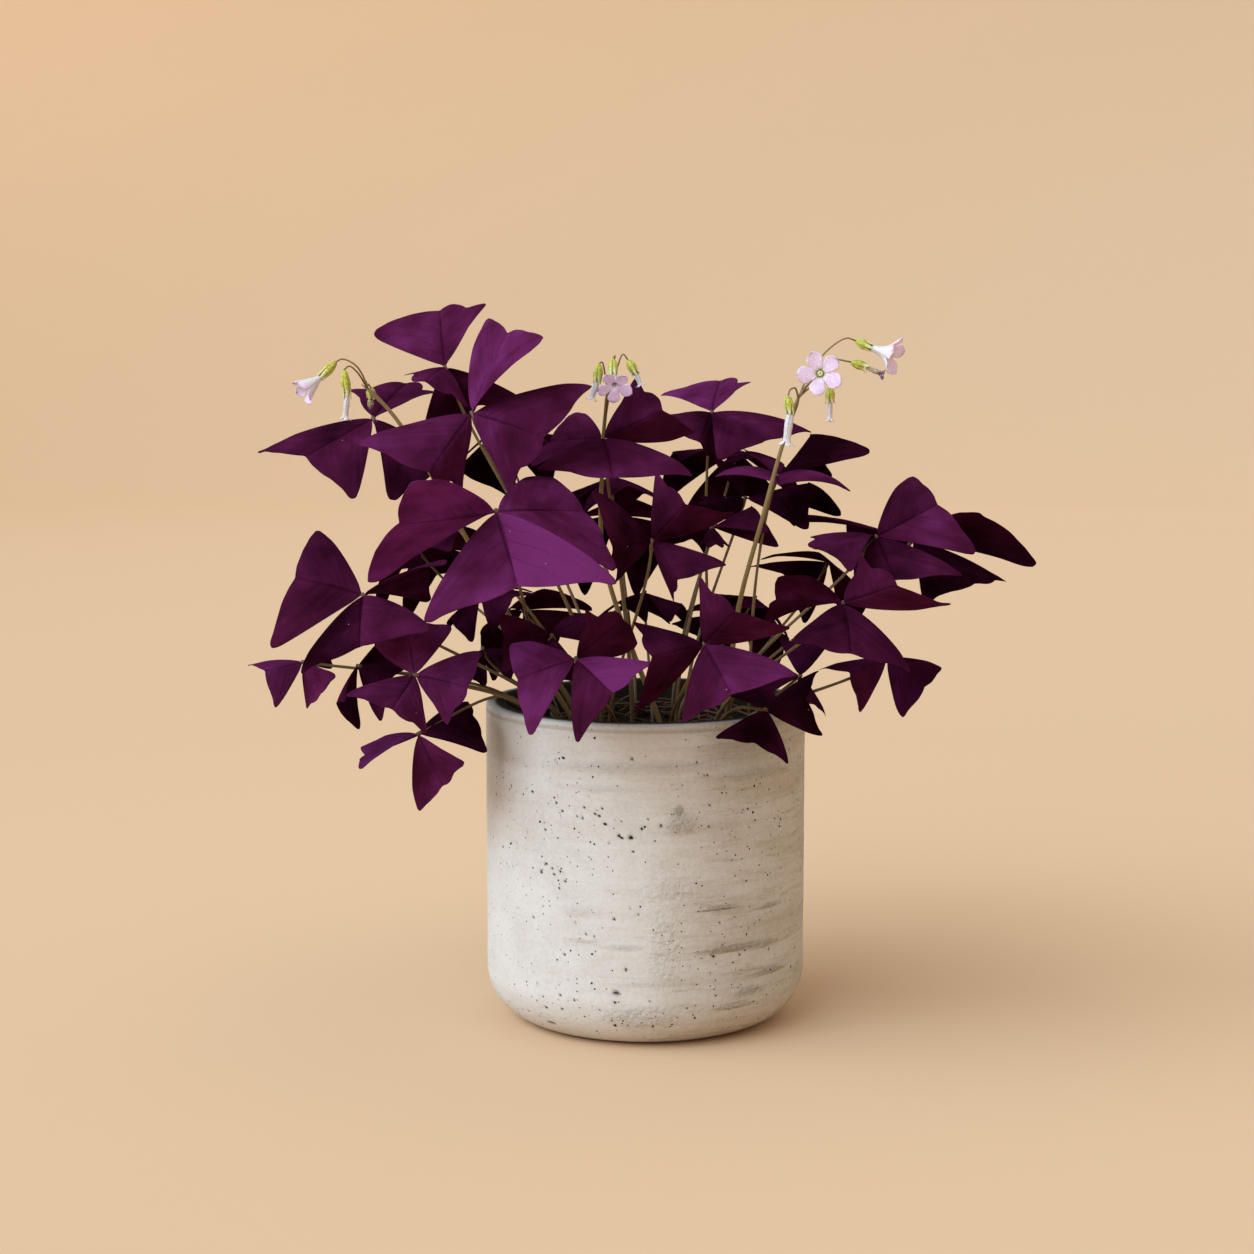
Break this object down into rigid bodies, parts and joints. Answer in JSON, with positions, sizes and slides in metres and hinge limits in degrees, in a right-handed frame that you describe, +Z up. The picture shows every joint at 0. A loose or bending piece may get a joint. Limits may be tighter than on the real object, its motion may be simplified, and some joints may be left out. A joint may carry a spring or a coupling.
{
  "type": "purple shamrock in a pot",
  "caption": "Potted purple shamrock: a loose dome of dark purple leaves, each of three joined leaflets on a thin stalk, pale lilac flowers above them, in a straight round concrete pot.",
  "frame": {"origin": "centre of the flat underside of the pot, where it stands on a surface", "axes": "+Z up along the pot's axis; -Y is the side the plant is seen from, +X to its right"},
  "size_m": [0.3245, 0.257, 0.2892],
  "materials": {
    "concrete": "matt, smooth cast, pale warm grey with small air pits",
    "potting_soil": "rough, moist, dark brown",
    "leaf": "satin, deep purple with darker veins and undersides",
    "flower_stalk": "satin, thin olive brown stalk with yellow-green calyxes",
    "petal": "soft, pale lilac fading to white at the tube",
    "withered_petal": "dull, shrivelled, brown purple"
  },
  "bodies": {
    "root": {"corolla_left_bud": "petal", "corolla_left_hanging": "petal", "corolla_left_trumpet": "petal", "corolla_middle_left": "petal", "corolla_middle_open": "petal", "corolla_middle_right": "petal", "corolla_right_hanging": "petal", "corolla_right_open": "petal", "corolla_right_small": "petal", "corolla_right_trumpet": "petal", "corolla_right_withered": "withered_petal", "flower_stalk_left": "flower_stalk", "flower_stalk_middle": "flower_stalk", "flower_stalk_right": "flower_stalk", "leaf_back_high_left": "leaf", "leaf_back_high_right": "leaf", "leaf_back_left": "leaf", "leaf_back_low_left": "leaf", "leaf_back_low_right": "leaf", "leaf_back_middle": "leaf", "leaf_back_right": "leaf", "leaf_big_front": "leaf", "leaf_far_left": "leaf", "leaf_far_right": "leaf", "leaf_front_inner": "leaf", "leaf_hanging_left": "leaf", "leaf_high_back": "leaf", "leaf_high_left": "leaf", "leaf_high_left_back": "leaf", "leaf_high_middle": "leaf", "leaf_inner_left": "leaf", "leaf_inner_low": "leaf", "leaf_inner_middle": "leaf", "leaf_inner_right": "leaf", "leaf_inner_top": "leaf", "leaf_low_left": "leaf", "leaf_low_left_back": "leaf", "leaf_lowest_far_left": "leaf", "leaf_middle": "leaf", "leaf_middle_right": "leaf", "leaf_right_front": "leaf", "leaf_right_high": "leaf", "leaf_right_inner": "leaf", "leaf_right_low": "leaf", "leaf_rim_front": "leaf", "leaf_rim_middle": "leaf", "leaf_rim_right": "leaf", "leaf_upper_far_left": "leaf", "leaf_upper_right": "leaf", "leaf_upper_right_under": "leaf", "pot": "concrete", "soil": "potting_soil"}
  },
  "joints": []
}
